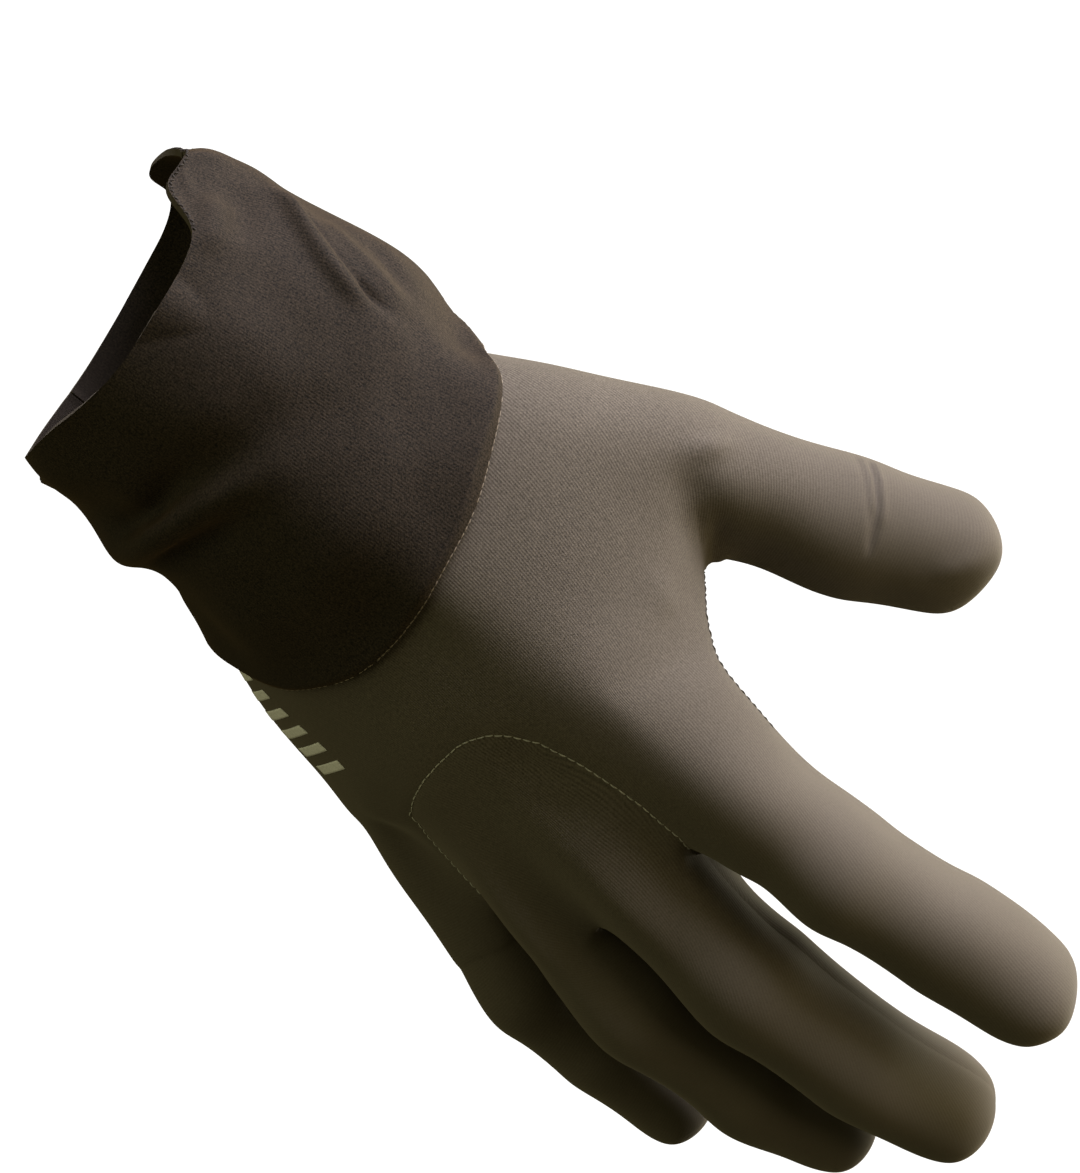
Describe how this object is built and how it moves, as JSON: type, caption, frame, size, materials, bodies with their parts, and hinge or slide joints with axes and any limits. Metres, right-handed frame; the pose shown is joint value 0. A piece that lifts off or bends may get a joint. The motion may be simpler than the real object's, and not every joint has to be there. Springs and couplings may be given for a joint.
{
  "type": "cycling glove",
  "caption": "Winter cycling glove for the right hand: hollow knit-faced foam shell with four bent fingers, a thumb held out and a loose stretch cuff with a rounded lap",
  "frame": {"origin": "centre of the cuff's opening, on the forearm's axis, where the glove goes over the wrist", "axes": "+X along the forearm's axis towards the fingertips, +Z towards the thumb, +Y out of the palm"},
  "size_m": [0.2267, 0.0918, 0.1208],
  "materials": {
    "body_knit": "matt knit face on foam",
    "cuff_knit": "matt stretch knit"
  },
  "bodies": {
    "root": {"back_panel": "body_knit", "finger_panel": "body_knit", "palm_panel": "body_knit", "cuff_back": "cuff_knit", "cuff_palm": "cuff_knit"}
  },
  "joints": []
}
